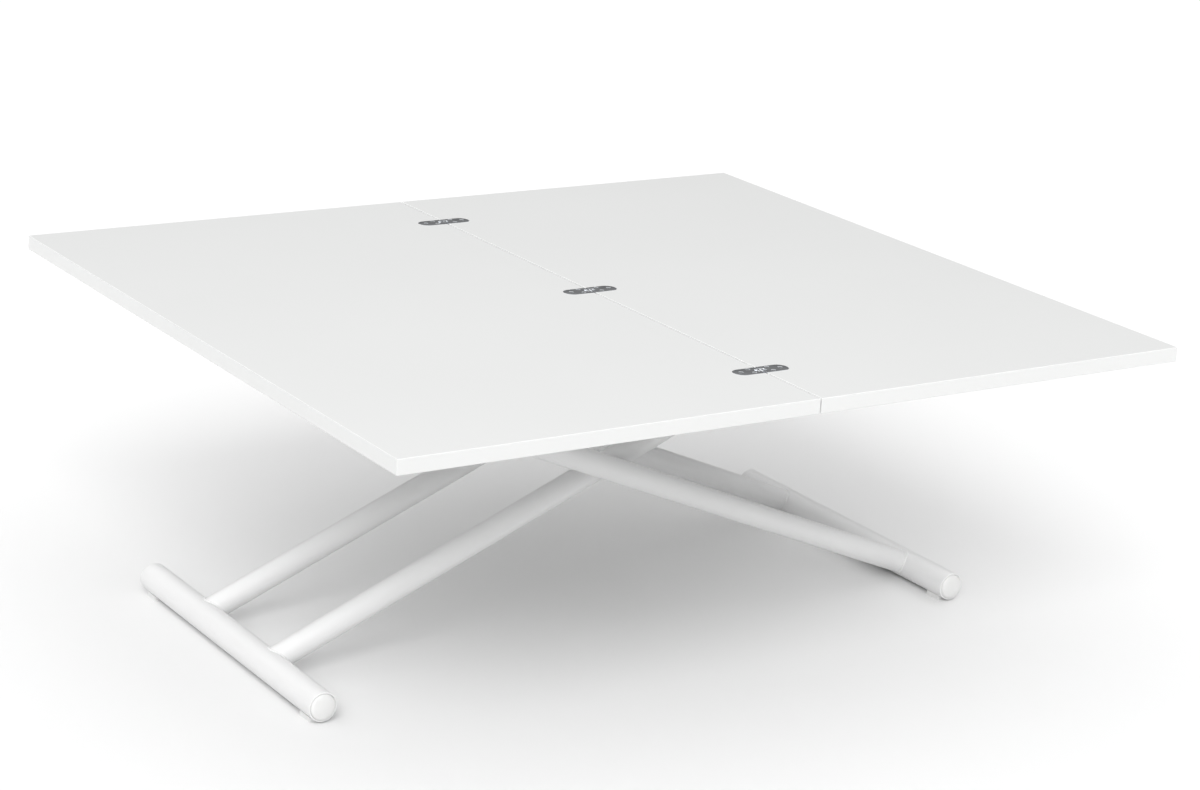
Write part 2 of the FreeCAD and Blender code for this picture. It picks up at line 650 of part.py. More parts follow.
def lever_grip():
    """Rounded plastic grip pushed over the arm."""
    y = sum(LEVER_ARM_Y) / 2
    x1 = LEVER_SHAFT[0] - LEVER_LENGTH + GRIP_LENGTH - 12
    x0 = x1 - GRIP_LENGTH
    z = LEVER_SHAFT[1]
    grip = rod((x0, y, z), (x1, y, z), GRIP_RADIUS)
    grip = grip.fuse(Part.makeSphere(GRIP_RADIUS, Vector(x0, y, z))).removeSplitter()
    tip = (LEVER_SHAFT[0] - LEVER_LENGTH, z)
    return grip.cut(strap(LEVER_SHAFT, tip, 10.0, 5.0, *LEVER_ARM_Y))


# --- top ---------------------------------------------------------------------------
def hinge_outline(side, y, grow, z0, z1):
    """Plate of a flap hinge: square at the seam and round at its other end."""
    centre = HINGE_REACH - HINGE_HALF_WIDTH
    half = HINGE_HALF_WIDTH + grow
    seam = side * (SEAM_GAP / 2 - (1 if grow else 0))
    plate = block(seam, side * centre, y - half, y + half, z0, z1)
    return plate.fuse(rod_z(side * centre, y, z0, z1, half)).removeSplitter()


def hinge_screw_places(side, y):
    """Three screws in each hinge plate."""
    return [(side * 14.0, y - 7.0), (side * 14.0, y + 7.0), (side * 29.0, y)]


def hinge_screws(side):
    """All screws of one leaf's hinge plates, with their plain envelopes."""
    made = []
    for y in HINGE_Y:
        for x, place_y in hinge_screw_places(side, y):
            made.append(screw(x, place_y, TOP_HEIGHT - 0.1, 13.0, 3.4, 1.75, -1))
    return made


def hinge_pin_place(side):
    """Axis of one leaf's hinge pins."""
    return (side * HINGE_PIN_OFFSET, TOP_HEIGHT - HINGE_PIN_DEPTH)


def link_slot(side, y, bottom):
    """Space for a link in one leaf, from the seam outwards."""
    return block(
        0, side * SLOT_REACH, y - SLOT_HALF_WIDTH, y + SLOT_HALF_WIDTH, bottom, TOP_HEIGHT + 1
    )


def hinge_plates(side):
    """Three plates let into the seam edge of one leaf."""
    plates = []
    bottom = TOP_HEIGHT - HINGE_THICKNESS
    envelopes = [plain for _, plain in hinge_screws(side)]
    for y in HINGE_Y:
        plate = hinge_outline(side, y, 0, bottom, TOP_HEIGHT)
        seam = [
            e for e in plate.Edges
            if abs(e.CenterOfMass.x) < SEAM_GAP and e.CenterOfMass.z > TOP_HEIGHT - 0.1
        ]
        plate = plate.makeFillet(LEAF_EDGE_ROUND, seam)
        plate = plate.cut(link_slot(side, y, 0))
        pin = rod_y(
            hinge_pin_place(side), y - HINGE_PIN_HALF_LENGTH, y + HINGE_PIN_HALF_LENGTH, HINGE_PIN_RADIUS
        )
        plate = plate.cut(pin)
        for envelope in envelopes:
            if abs(envelope.BoundBox.Center.y - y) < HINGE_HALF_WIDTH:
                plate = plate.cut(envelope)
        plates.append(plate)
    return group(plates)


def hinge_pins(side):
    """Pins of one leaf's hinges."""
    return group([
        rod_y(hinge_pin_place(side), y - HINGE_PIN_HALF_LENGTH, y + HINGE_PIN_HALF_LENGTH, HINGE_PIN_RADIUS)
        for y in HINGE_Y
    ])


def link_outline(y):
    """Outline of a link: two eyes and a waist, with the folding leaf's eye drawn out along it.

    The waist is hollowed about the line above the seam that the folding leaf turns on.
    """
    z = TOP_HEIGHT - HINGE_PIN_DEPTH
    eighth = LINK_RADIUS * math.sqrt(0.5)
    waist = HINGE_PIN_OFFSET * (1 - math.sqrt(2)) + LINK_RADIUS
    sixteenth = math.radians(112.5)
    far = HINGE_PIN_OFFSET + LINK_DRAW

    def place(x, dz):
        return Vector(x, y, z + dz)

    def shoulder(dz):
        return place(
            HINGE_PIN_OFFSET + LINK_RADIUS * math.cos(sixteenth), dz * LINK_RADIUS * math.sin(sixteenth)
        )

    near = HINGE_PIN_OFFSET - eighth
    edges = [
        Part.Arc(place(-near, eighth), place(0, waist), place(near, eighth)),
        Part.Arc(place(near, eighth), shoulder(1), place(HINGE_PIN_OFFSET, LINK_RADIUS)),
        Part.LineSegment(place(HINGE_PIN_OFFSET, LINK_RADIUS), place(far, LINK_RADIUS)),
        Part.Arc(place(far, LINK_RADIUS), place(far + LINK_RADIUS, 0), place(far, -LINK_RADIUS)),
        Part.LineSegment(place(far, -LINK_RADIUS), place(HINGE_PIN_OFFSET, -LINK_RADIUS)),
        Part.Arc(place(HINGE_PIN_OFFSET, -LINK_RADIUS), shoulder(-1), place(near, -eighth)),
        Part.Arc(place(near, -eighth), place(0, -waist), place(-near, -eighth)),
        Part.Arc(place(-near, -eighth), place(-HINGE_PIN_OFFSET - LINK_RADIUS, 0), place(-near, eighth)),
    ]
    return Part.Face(Part.Wire([edge.toShape() for edge in edges]))


def hinge_links():
    """Short links that join the two pins of each hinge."""
    bore = HINGE_PIN_RADIUS + RUNNING
    folding_pin = hinge_pin_place(RIGHT)
    drawn_out = (folding_pin[0] + LINK_DRAW, folding_pin[1])
    links = []
    for y in HINGE_Y:
        low, high = y - LINK_HALF_WIDTH, y + LINK_HALF_WIDTH
        link = link_outline(low).extrude(Vector(0, 2 * LINK_HALF_WIDTH, 0))
        link = link.cut(rod_y(hinge_pin_place(LEFT), low, high, bore))
        link = link.cut(strap(folding_pin, drawn_out, bore, bore, low, high))
        links.append(link)
    return group(links)


def leaf(side):
    """One lacquered board, with the hinge recesses and screw holes in its seam edge."""
    board = block(
        side * SEAM_GAP / 2, side * TOP_LENGTH / 2, -TOP_WIDTH / 2, TOP_WIDTH / 2, LEAF_BOTTOM, TOP_HEIGHT
    )
    board = board.makeFillet(LEAF_EDGE_ROUND, board.Edges)
    for y in HINGE_Y:
        board = board.cut(hinge_outline(side, y, 0.15, TOP_HEIGHT - HINGE_THICKNESS, TOP_HEIGHT + 1))
        board = board.cut(link_slot(side, y, TOP_HEIGHT - LINK_POCKET_DEPTH))
    for _, envelope in hinge_screws(side):
        board = board.cut(envelope)
    if side == LEFT:
        for _, envelope in leaf_plate_fixings():
            board = board.cut(envelope)
    return board


def leaf_plate_fixings():
    """Screws that hold the swivel plate under the fixed leaf."""
    inset = SWIVEL_PLATE_HALF - 10
    head_z = LEAF_BOTTOM - SWIVEL_PLATE_THICKNESS
    made = []
    for dx in (-inset, inset):
        for dy in (-inset, inset):
            made.append(screw(SWIVEL_X + dx, SWIVEL_Y + dy, head_z, 16.0, 4.0, 2.0, 1))
    return made


def leaf_swivel_plate():
    """Steel plate under the fixed leaf."""
    half = SWIVEL_PLATE_HALF
    low = LEAF_BOTTOM - SWIVEL_PLATE_THICKNESS
    plate = block(SWIVEL_X - half, SWIVEL_X + half, SWIVEL_Y - half, SWIVEL_Y + half, low, LEAF_BOTTOM)
    corners = [e for e in plate.Edges if abs(e.Vertexes[0].Z - e.Vertexes[1].Z) > 1]
    plate = plate.makeFillet(8.0, corners)
    for _, envelope in leaf_plate_fixings():
        plate = plate.cut(envelope)
    return plate


def swivel_stud():
    """Stud welded to the swivel plate."""
    foot, head = SWIVEL_NUT_TOP - 12, LEAF_BOTTOM - SWIVEL_PLATE_THICKNESS
    return rod_z(SWIVEL_X, SWIVEL_Y, foot, head, SWIVEL_STUD_RADIUS)


def swivel_washer():
    """Washer under the swivel cross plate."""
    top = RAIL_TOP - SWIVEL_CROSS_THICKNESS - GAP
    ring = rod_z(SWIVEL_X, SWIVEL_Y, SWIVEL_NUT_TOP, top, 13.0)
    return ring.cut(rod_z(SWIVEL_X, SWIVEL_Y, SWIVEL_NUT_TOP, top, SWIVEL_STUD_RADIUS))


def swivel_nut():
    """Lock nut on the swivel stud."""
    height, across = 10.0, 18.0
    points = []
    for step in range(7):
        x, y = polar((SWIVEL_X, SWIVEL_Y), across / math.sqrt(3), 60 * step)
        points.append(Vector(x, y, SWIVEL_NUT_TOP - height))
    nut = Part.Face(Part.makePolygon(points)).extrude(Vector(0, 0, height))
    return nut.cut(rod_z(SWIVEL_X, SWIVEL_Y, 0, TOP_HEIGHT, SWIVEL_STUD_RADIUS))


def swivel_stop_pin():
    """Pin that runs in the quarter-turn slot."""
    x, y = polar((SWIVEL_X, SWIVEL_Y), STOP_RADIUS, 180)
    low = RAIL_TOP - SWIVEL_CROSS_THICKNESS
    return rod_z(x, y, low, LEAF_BOTTOM - SWIVEL_PLATE_THICKNESS, STOP_PIN_RADIUS)


NODES = {
    "left_foot_glides": lambda: foot_glides(LEFT_FOOT),
    "left_foot_bar": lambda: foot_bar(LEFT_FOOT),
    "left_foot_caps": lambda: foot_caps(LEFT_FOOT),
    "inner_leg_near": lambda: inner_leg(-1),
    "inner_leg_far": lambda: inner_leg(1),
    "inner_pivot_sleeves": inner_pivot_sleeves,
    "inner_pivot_bushes": inner_pivot_bushes,
    "pivot_spacers": pivot_spacers,
    "hinge_tube": lambda: end_tube(HINGE, HINGE_TUBE_HALF),
    "hinge_bushes": hinge_bushes,
    "spring_lever_plates": spring_lever_plates,
    "spring_lower_pin": spring_lower_pin,
    "right_foot_bar": lambda: foot_bar(RIGHT_FOOT),
    "right_foot_caps": lambda: foot_caps(RIGHT_FOOT),
    "outer_leg_near": lambda: outer_leg(-1),
    "outer_leg_far": lambda: outer_leg(1),
    "outer_pivot_bosses": outer_pivot_bosses,
    "pivot_bolts": pivot_bolts,
    "slider_tube": lambda: end_tube(SLIDER, SLIDER_TUBE_HALF),
    "slider_studs": slider_studs,
    "right_foot_glides": lambda: foot_glides(RIGHT_FOOT),
    "slide_blocks": slide_blocks,
    "rail_near": lambda: rail(-1),
    "rail_far": lambda: rail(1),
    "left_cross_member": lambda: cross_member(RAIL_LEFT_X, RAIL_LEFT_X + BEAM_WIDTH),
    "right_cross_member": lambda: cross_member(RAIL_RIGHT_X - BEAM_WIDTH, RAIL_RIGHT_X),
    "hinge_brackets": hinge_brackets,
    "hinge_shaft": hinge_shaft,
    "hinge_shaft_nuts": hinge_shaft_nuts,
    "swivel_cross_plate": swivel_cross_plate,
    "swivel_bush": swivel_bush,
    "leaf_support_pads": leaf_support_pads,
    "spring_bracket": spring_bracket,
    "spring_trunnion_screws": spring_trunnion_screws,
    "lever_brackets": lever_brackets,
    "spring_rod": spring_rod,
    "spring_piston": spring_piston,
    "spring_head": spring_head,
    "release_pin": release_pin,
    "spring_cylinder": spring_cylinder,
    "spring_gland": spring_gland,
    "spring_eye": spring_eye,
    "lever_shaft": lever_shaft,
    "lever_arm": lever_arm,
    "lever_grip": lever_grip,
    "fixed_leaf": lambda: leaf(LEFT),
    "leaf_swivel_plate": leaf_swivel_plate,
    "leaf_plate_screws": lambda: group([made for made, _ in leaf_plate_fixings()]),
    "swivel_stud": swivel_stud,
    "swivel_washer": swivel_washer,
    "swivel_nut": swivel_nut,
    "swivel_stop_pin": swivel_stop_pin,
    "fixed_hinge_plates": lambda: hinge_plates(LEFT),
    "fixed_hinge_screws": lambda: group([made for made, _ in hinge_screws(LEFT)]),
    "fixed_hinge_pins": lambda: hinge_pins(LEFT),
    "hinge_links": hinge_links,
    "folding_leaf": lambda: leaf(RIGHT),
    "folding_hinge_plates": lambda: hinge_plates(RIGHT),
    "folding_hinge_screws": lambda: group([made for made, _ in hinge_screws(RIGHT)]),
    "folding_hinge_pins": lambda: hinge_pins(RIGHT),
}

os.makedirs("parts", exist_ok=True)
for node_name, make in NODES.items():
    save(node_name, make())
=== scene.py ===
"""Finished looks of a lift top coffee table: white lacquered flap top on a scissor base."""
import json
import math

import bmesh
import bpy
from bpy.props import FloatProperty, FloatVectorProperty, IntProperty, PointerProperty
from mathutils import Matrix, Vector


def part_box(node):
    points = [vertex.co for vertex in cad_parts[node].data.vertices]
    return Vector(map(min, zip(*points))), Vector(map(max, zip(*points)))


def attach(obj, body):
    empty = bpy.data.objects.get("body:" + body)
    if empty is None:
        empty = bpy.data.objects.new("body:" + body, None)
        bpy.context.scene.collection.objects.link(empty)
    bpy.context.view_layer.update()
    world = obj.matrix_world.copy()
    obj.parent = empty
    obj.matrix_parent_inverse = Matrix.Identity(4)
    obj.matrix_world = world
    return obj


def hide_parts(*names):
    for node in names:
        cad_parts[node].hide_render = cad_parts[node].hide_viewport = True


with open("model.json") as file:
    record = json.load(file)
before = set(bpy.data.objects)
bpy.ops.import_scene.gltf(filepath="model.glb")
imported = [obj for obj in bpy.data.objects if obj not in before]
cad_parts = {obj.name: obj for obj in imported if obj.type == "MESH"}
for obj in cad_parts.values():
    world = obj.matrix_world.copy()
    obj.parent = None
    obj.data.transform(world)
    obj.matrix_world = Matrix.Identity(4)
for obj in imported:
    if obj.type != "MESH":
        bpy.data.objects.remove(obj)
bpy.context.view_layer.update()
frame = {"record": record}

bl_info = {
    "name": "Lift Top Coffee Table",
    "version": (1, 0, 0),
    "blender": (4, 5, 0),
    "location": "3D View > Sidebar > Coffee Table",
    "description": "Builds the finishes, steelwork, flap hinges and studio of a lift top coffee table",
    "category": "Object",
}

MM = 0.001


# --- settings ----------------------------------------------------------------------
class TopLooks(bpy.types.PropertyGroup):
    """Lacquer of the two leaves."""

    colour: FloatVectorProperty(
        name="Lacquer", description="Body colour of the lacquer", subtype="COLOR", size=3,
        default=(0.80, 0.805, 0.80), min=0, max=1,
    )
    roughness: FloatProperty(
        name="Roughness", description="Blur of reflections in the lacquer", default=0.10, min=0, max=1
    )
    peel: FloatProperty(
        name="Orange Peel", description="Height of the faint waves in the lacquer",
        default=0.000004, min=0, unit="LENGTH", precision=6,
    )


class SteelLooks(bpy.types.PropertyGroup):
    """Powder coated tubes and their welds."""

    colour: FloatVectorProperty(
        name="Powder Coat", description="Body colour of the powder coat", subtype="COLOR", size=3,
        default=(0.845, 0.845, 0.845), min=0, max=1,
    )
    roughness: FloatProperty(
        name="Roughness", description="Blur of reflections in the powder coat", default=0.38, min=0, max=1
    )
    grain: FloatProperty(
        name="Grain", description="Height of the powder coat's texture",
        default=0.00004, min=0, unit="LENGTH", precision=6,
    )
    segments: IntProperty(name="Segments", description="Sides of a round tube", default=112, min=24, max=256)
    bead: FloatProperty(
        name="Weld Bead", description="Radius of a weld bead", default=0.0017, min=0, unit="LENGTH", precision=5
    )
    ripple: FloatProperty(
        name="Weld Ripple", description="Depth of the ripples as a share of the bead",
        default=0.10, min=0, max=1,
    )


class HingeLooks(bpy.types.PropertyGroup):
    """Chromed flap hinges."""

    colour: FloatVectorProperty(
        name="Chrome", description="Tint of the chrome plate", subtype="COLOR", size=3,
        default=(0.72, 0.74, 0.77), min=0, max=1,
    )
    edge: FloatProperty(
        name="Rolled Edge", description="Width of the rounding at the rim of a plate",
        default=0.0008, min=0, unit="LENGTH", precision=5,
    )
    waves: FloatProperty(
        name="Waves", description="Depth of the waves left by polishing",
        default=0.00003, min=0, unit="LENGTH", precision=6,
    )
    seed: IntProperty(name="Seed", description="Chooses how far each screw is turned", default=11, min=0)


class StageLooks(bpy.types.PropertyGroup):
    """Floor, lights and camera."""

    key: FloatProperty(name="Key Light", description="Strength of the soft key light", default=1.75, min=0)
    overhead: FloatProperty(
        name="Overhead", description="Strength of the soft overhead light", default=1.7, min=0
    )
    fill: FloatProperty(name="Fill", description="Brightness of the surroundings", default=0.34, min=0)
    distance: FloatProperty(
        name="Camera Distance", description="From the camera to the point it looks at",
        default=3.437, min=0.5, unit="LENGTH",
    )
    lens: FloatProperty(name="Lens", description="Focal length", default=89.1, min=10, unit="CAMERA")


# --- node helpers ------------------------------------------------------------------
class Tree:
    """Short ways to add and join nodes of one tree."""

    def __init__(self, tree):
        self.tree = tree
        self.column = 0

    def add(self, kind, inputs=None, **settings):
        made = self.tree.nodes.new(kind)
        made.location = (self.column * 190, -(self.column % 3) * 160)
        self.column += 1
        for key, value in settings.items():
            setattr(made, key, value)
        for key, value in (inputs or {}).items():
            if isinstance(value, bpy.types.NodeSocket):
                self.tree.links.new(value, made.inputs[key])
            else:
                made.inputs[key].default_value = value
        return made

    def math(self, operation, *values, clamp=False):
        return self.add(
            "ShaderNodeMath", dict(enumerate(values)), operation=operation, use_clamp=clamp
        ).outputs[0]

    def step(self, value, low, high, to_low=0.0, to_high=1.0):
        """Smooth change of a value between two limits."""
        return self.add(
            "ShaderNodeMapRange",
            {"Value": value, "From Min": low, "From Max": high, "To Min": to_low, "To Max": to_high},
            interpolation_type="SMOOTHSTEP",
        ).outputs["Result"]

    def mix(self, factor, first, second):
        made = self.add("ShaderNodeMix", data_type="RGBA")
        for key, value in ((0, factor), (6, first), (7, second)):
            if isinstance(value, bpy.types.NodeSocket):
                self.tree.links.new(value, made.inputs[key])
            else:
                made.inputs[key].default_value = (*value, 1) if key else value
        return made.outputs[2]

    def noise(self, vector, scale, detail=2.0, rough=0.5):
        return self.add(
            "ShaderNodeTexNoise",
            {"Vector": vector, "Scale": scale, "Detail": detail, "Roughness": rough},
        ).outputs[0]

    def bump(self, height, distance, normal=None):
        inputs = {"Height": height, "Distance": distance, "Strength": 1.0}
        if normal is not None:
            inputs["Normal"] = normal
        return self.add("ShaderNodeBump", inputs).outputs[0]


def fresh_material(name):
    """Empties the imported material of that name, or makes it; gives (material, tree, coordinates)."""
    material = bpy.data.materials.get(name) or bpy.data.materials.new(name)
    material.use_nodes = True
    material.node_tree.nodes.clear()
    tree = Tree(material.node_tree)
    place = tree.add("ShaderNodeTexCoord").outputs["Object"]
    return material, tree, place


def close_material(tree, **inputs):
    """Adds the surface shader and the output."""
    named = {key.replace("_", " "): value for key, value in inputs.items()}
    shader = tree.add("ShaderNodeBsdfPrincipled", named)
    tree.add("ShaderNodeOutputMaterial", {"Surface": shader.outputs[0]})


def shade(colour, by):
    """A colour made lighter or darker."""
    return tuple(min(1.0, part * by) for part in colour)


# --- materials ---------------------------------------------------------------------
def lacquer(looks):
    """High gloss lacquer: even colour, faint orange peel and slightly duller patches."""
    material, tree, place = fresh_material("white_lacquer")
    cloud = tree.noise(place, 3.0, 3.0)
    colour = tree.mix(cloud, shade(looks.colour, 0.985), shade(looks.colour, 1.015))
    haze = tree.noise(place, 26.0, 4.0)
    rough = tree.step(haze, 0.3, 0.7, looks.roughness * 0.96, looks.roughness * 1.04)
    peel = tree.bump(tree.noise(place, 240.0, 2.0), looks.peel)
    close_material(
        tree, Base_Color=colour, Roughness=rough, Normal=peel, IOR=1.5,
        Coat_Weight=0.0, Specular_IOR_Level=0.5,
    )
    return material


def powder_coat(looks):
    """Satin powder coat with its fine pebbled texture."""
    material, tree, place = fresh_material("white_powder")
    cloud = tree.noise(place, 9.0, 3.0)
    colour = tree.mix(cloud, shade(looks.colour, 0.975), shade(looks.colour, 1.02))
    pebble = tree.noise(place, 850.0, 2.0, 0.6)
    rough = tree.step(pebble, 0.3, 0.7, looks.roughness * 0.85, looks.roughness * 1.2)
    slow = tree.bump(tree.noise(place, 160.0, 2.0), looks.grain * 0.8)
    normal = tree.bump(pebble, looks.grain, slow)
    close_material(tree, Base_Color=colour, Roughness=rough, Normal=normal, IOR=1.5)
    return material


def white_plastic():
    """Moulded caps: warm white with a fine spark-eroded texture."""
    material, tree, place = fresh_material("white_plastic")
    cloud = tree.noise(place, 40.0, 2.0)
    colour = tree.mix(cloud, (0.80, 0.80, 0.79), (0.83, 0.83, 0.825))
    grain = tree.noise(place, 1400.0, 1.0)
    rough = tree.step(grain, 0.3, 0.7, 0.34, 0.48)
    close_material(
        tree, Base_Color=colour, Roughness=rough, Normal=tree.bump(grain, 0.00002), IOR=1.49
    )
    return material


def chrome(looks):
    """Mirror chrome with shallow polishing waves and hairline scratches."""
    material, tree, place = fresh_material("bright_chrome")
    wave = tree.bump(tree.noise(place, 140.0, 1.0), looks.waves)
    stretch = tree.add("ShaderNodeMapping", {"Vector": place, "Scale": (1.0, 14.0, 1.0)}).outputs[0]
    hair = tree.noise(stretch, 900.0, 2.0)
    rough = tree.step(hair, 0.35, 0.75, 0.03, 0.09)
    colour = tree.mix(tree.noise(place, 90.0, 3.0), shade(looks.colour, 0.95), looks.colour)
    close_material(tree, Base_Color=colour, Metallic=1.0, Roughness=rough, Normal=wave)
    return material


def zinc():
    """Bright zinc plate: faint spangle and handled patches."""
    material, tree, place = fresh_material("zinc_steel")
    cell = tree.add("ShaderNodeTexVoronoi", {"Vector": place, "Scale": 420.0}).outputs["Distance"]
    cloud = tree.noise(place, 70.0, 4.0)
    colour = tree.mix(cloud, (0.52, 0.53, 0.54), (0.68, 0.69, 0.70))
    rough = tree.step(tree.math("ADD", cell, cloud), 0.4, 1.2, 0.22, 0.42)
    close_material(
        tree, Base_Color=colour, Metallic=1.0, Roughness=rough, Normal=tree.bump(cell, 0.00002)
    )
    return material


def moulded(name, dark, light, low, high, grain_scale, depth):
    """Matt moulded plastic or enamel with a fine grain."""
    material, tree, place = fresh_material(name)
    cloud = tree.noise(place, 60.0, 3.0)
    grain = tree.noise(place, grain_scale, 2.0, 0.6)
    close_material(
        tree, Base_Color=tree.mix(cloud, dark, light), Roughness=tree.step(grain, 0.3, 0.7, low, high),
        Normal=tree.bump(grain, depth), IOR=1.5,
    )
    return material


# --- mesh helpers ------------------------------------------------------------------
def node_size(name):
    """(lowest corner, highest corner, middle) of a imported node."""
    low, high = (Vector(corner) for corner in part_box(name))
    return low, high, (low + high) / 2


def joint_place(name):
    """Axis point of a joint as a vector."""
    for joint in frame["record"]["behaviour"]["joints"]:
        if joint["name"] == name:
            return Vector(joint["pos_m"])
    raise KeyError(name)


def add_object(name, mesh, material=None):
    """New object at the origin, with its place in its mesh."""
    made = bpy.data.objects.new(name, mesh)
    bpy.context.scene.collection.objects.link(made)
    if material:
        mesh.materials.clear()
        mesh.materials.append(material)
    return made


def mesh_from(work, name, sharp=32.0):
    """Plain mesh from a bmesh, smooth except at edges sharper than the angle given in degrees."""
    bmesh.ops.recalc_face_normals(work, faces=work.faces)
    mesh = bpy.data.meshes.new(name)
    work.to_mesh(mesh)
    work.free()
    mesh.shade_smooth()
    mesh.set_sharp_from_angle(angle=math.radians(sharp))
    return mesh


def bridge(work, first, second):
    """Quads between two rings of the same length."""
    count = len(first)
    for i in range(count):
        j = (i + 1) % count
        work.faces.new((first[i], first[j], second[j], second[i]))


def lathe(work, profile, origin, along, segments):
    """Turned shape: the profile holds (radius, distance) pairs measured from the origin along a direction."""
    along = along.normalized()
    side = along.orthogonal().normalized()
    other = along.cross(side)
    rings = []
    for radius, distance in profile:
        centre = origin + along * distance
        if radius < 1e-7:
            rings.append([work.verts.new(centre)])
            continue
        ring = []
        for i in range(segments):
            turn = 2 * math.pi * i / segments
            ring.append(work.verts.new(centre + radius * (side * math.cos(turn) + other * math.sin(turn))))
        rings.append(ring)
    for first, second in zip(rings, rings[1:]):
        if len(first) > 1 and len(second) > 1:
            bridge(work, first, second)
        elif len(first) > 1 or len(second) > 1:
            tip, ring = (first[0], second) if len(first) == 1 else (second[0], first)
            for i in range(len(ring)):
                work.faces.new((tip, ring[i], ring[(i + 1) % len(ring)]))


def rounded(radius, distance, edge, outward, steps=5):
    """Quarter round of a turned rim, from the outside face to the end face."""
    points = []
    for i in range(steps + 1):
        turn = math.pi / 2 * i / steps
        points.append((radius - edge + edge * math.cos(turn), distance + outward * edge * (math.sin(turn) - 1)))
    return points


def baked(name, source, modifiers):
    """Plain mesh of an object with modifiers, which are removed with the object."""
    evaluated = source.evaluated_get(bpy.context.evaluated_depsgraph_get())
    mesh = bpy.data.meshes.new_from_object(evaluated)
    mesh.name = name
    for modifier in modifiers:
        source.modifiers.remove(modifier)
    bpy.data.objects.remove(source)
    return mesh


def cut_mesh(name, solid, cutter):
    """Mesh of one bmesh solid less another, by an exact boolean."""
    body = add_object(name, mesh_from(solid, name))
    tool = add_object(name + "_tool", mesh_from(cutter, name + "_tool"))
    modifier = body.modifiers.new("Cut", "BOOLEAN")
    modifier.operation = "DIFFERENCE"
    modifier.solver = "EXACT"
    modifier.object = tool
    mesh = baked(name, body, [modifier])
    bpy.data.objects.remove(tool)
    mesh.shade_smooth()
    mesh.set_sharp_from_angle(angle=math.radians(32))
    return mesh


def finish_piece(name, mesh, material, body, slot, *nodes):
    """Adds a piece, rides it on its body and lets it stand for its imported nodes."""
    piece = add_object(name, mesh, material)
    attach(piece, body)
    if nodes:
        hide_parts(*nodes)
    return piece


# --- steelwork ---------------------------------------------------------------------
LEGS = (
    ("inner_leg_near", "inner_frame", "left_foot_bar", "lift", "hinge_tube", "upper_hinge"),
    ("inner_leg_far", "inner_frame", "left_foot_bar", "lift", "hinge_tube", "upper_hinge"),
    ("outer_leg_near", "outer_frame", "right_foot_bar", "right_foot_turn", "slider_tube", "slide_block_turn"),
    ("outer_leg_far", "outer_frame", "right_foot_bar", "right_foot_turn", "slider_tube", "slide_block_turn"),
)


def leg_axes(node, foot_bar, foot_joint, tube, tube_joint):
    """Foot and head points, radii and directions of a leg."""
    low, high, middle = node_size(node)
    radius = (high.y - low.y) / 2
    foot = joint_place(foot_joint)
    head = joint_place(tube_joint)
    foot.y = head.y = middle.y
    bar_low, bar_high, _ = node_size(foot_bar)
    tube_low, tube_high, _ = node_size(tube)
    along = (head - foot).normalized()
    across = Vector((0, 1, 0)).cross(along)
    return {
        "foot": foot, "head": head, "radius": radius, "along": along, "across": across,
        "foot_radius": (bar_high.z - bar_low.z) / 2, "head_radius": (tube_high.z - tube_low.z) / 2,
    }


def cope_point(axes, turn, at_head, radius, sink=0.0):
    """Point where a leg's surface meets the round bar at one of its ends."""
    bar = (axes["head_radius"] if at_head else axes["foot_radius"]) - sink
    reach = math.sqrt(max(bar ** 2 - (min(radius, bar) * math.cos(turn)) ** 2, 0.0))
    start = axes["head"] if at_head else axes["foot"]
    outward = -1 if at_head else 1
    round_part = axes["across"] * math.cos(turn) + Vector((0, 1, 0)) * math.sin(turn)
    return start + axes["along"] * outward * reach + radius * round_part


def leg_mesh(node, axes, segments):
    """Round leg, shaped at both ends to the bars that it is welded to."""
    work = bmesh.new()
    rings = []
    steps = 12
    ends = []
    for i in range(segments):
        turn = 2 * math.pi * i / segments
        ends.append([
            cope_point(axes, turn, at_head, axes["radius"], 0.0003) for at_head in (False, True)
        ])
    for step in range(steps + 1):
        rings.append([work.verts.new(low.lerp(high, step / steps)) for low, high in ends])
    for first, second in zip(rings, rings[1:]):
        bridge(work, first, second)
    work.faces.new(rings[0])
    work.faces.new(rings[-1])
    return mesh_from(work, node + "_tube", 60)


def bar_mesh(node, segments):
    """Foot bar: a round tube with softened rims and an open bore at each end."""
    low, high, middle = node_size(node)
    radius = (high.z - low.z) / 2
    half = (high.y - low.y) / 2
    bore = radius - 0.002
    profile = [(bore, -half + 0.012)]
    profile += [(bore, -half + 0.0003), (bore + 0.0003, -half)]
    profile += [(r, d) for r, d in reversed(rounded(radius, -half, 0.0006, -1))]
    profile += [(radius, half * (i / 12 - 0.5) * 1.9) for i in range(13)]
    profile += rounded(radius, half, 0.0006, 1)
    profile += [(bore + 0.0003, half), (bore, half - 0.0003), (bore, half - 0.012)]
    work = bmesh.new()
    lathe(work, profile, middle, Vector((0, 1, 0)), segments)
    return mesh_from(work, node + "_tube", 40)


def cap_mesh(node, bar, segments):
    """Domed plastic caps in both ends of a foot bar, each with a small step at its rim."""
    low, high, middle = node_size(node)
    bar_low, bar_high, _ = node_size(bar)
    half = (bar_high.y - bar_low.y) / 2
    dome = (high.y - low.y) / 2 - half
    plug = (bar_high.z - bar_low.z) / 2 - 0.002
    work = bmesh.new()
    for side in (-1, 1):
        profile = [(0, half - 0.010), (plug - 0.0001, half - 0.010), (plug - 0.0001, half - 0.0012)]
        profile += [(plug - 0.0005, half - 0.0006), (plug - 0.0005, half + 0.0005)]
        rim = plug - 0.0005
        for i in range(1, 15):
            share = i / 14
            bulge = math.sqrt(max(0.0, 1 - (1 - share) ** 2.4))
            profile.append((rim * (1 - share), half + 0.0005 + (dome - 0.0005) * bulge))
        lathe(work, profile, middle, Vector((0, side, 0)), segments)
    return mesh_from(work, node + "_domes", 38)


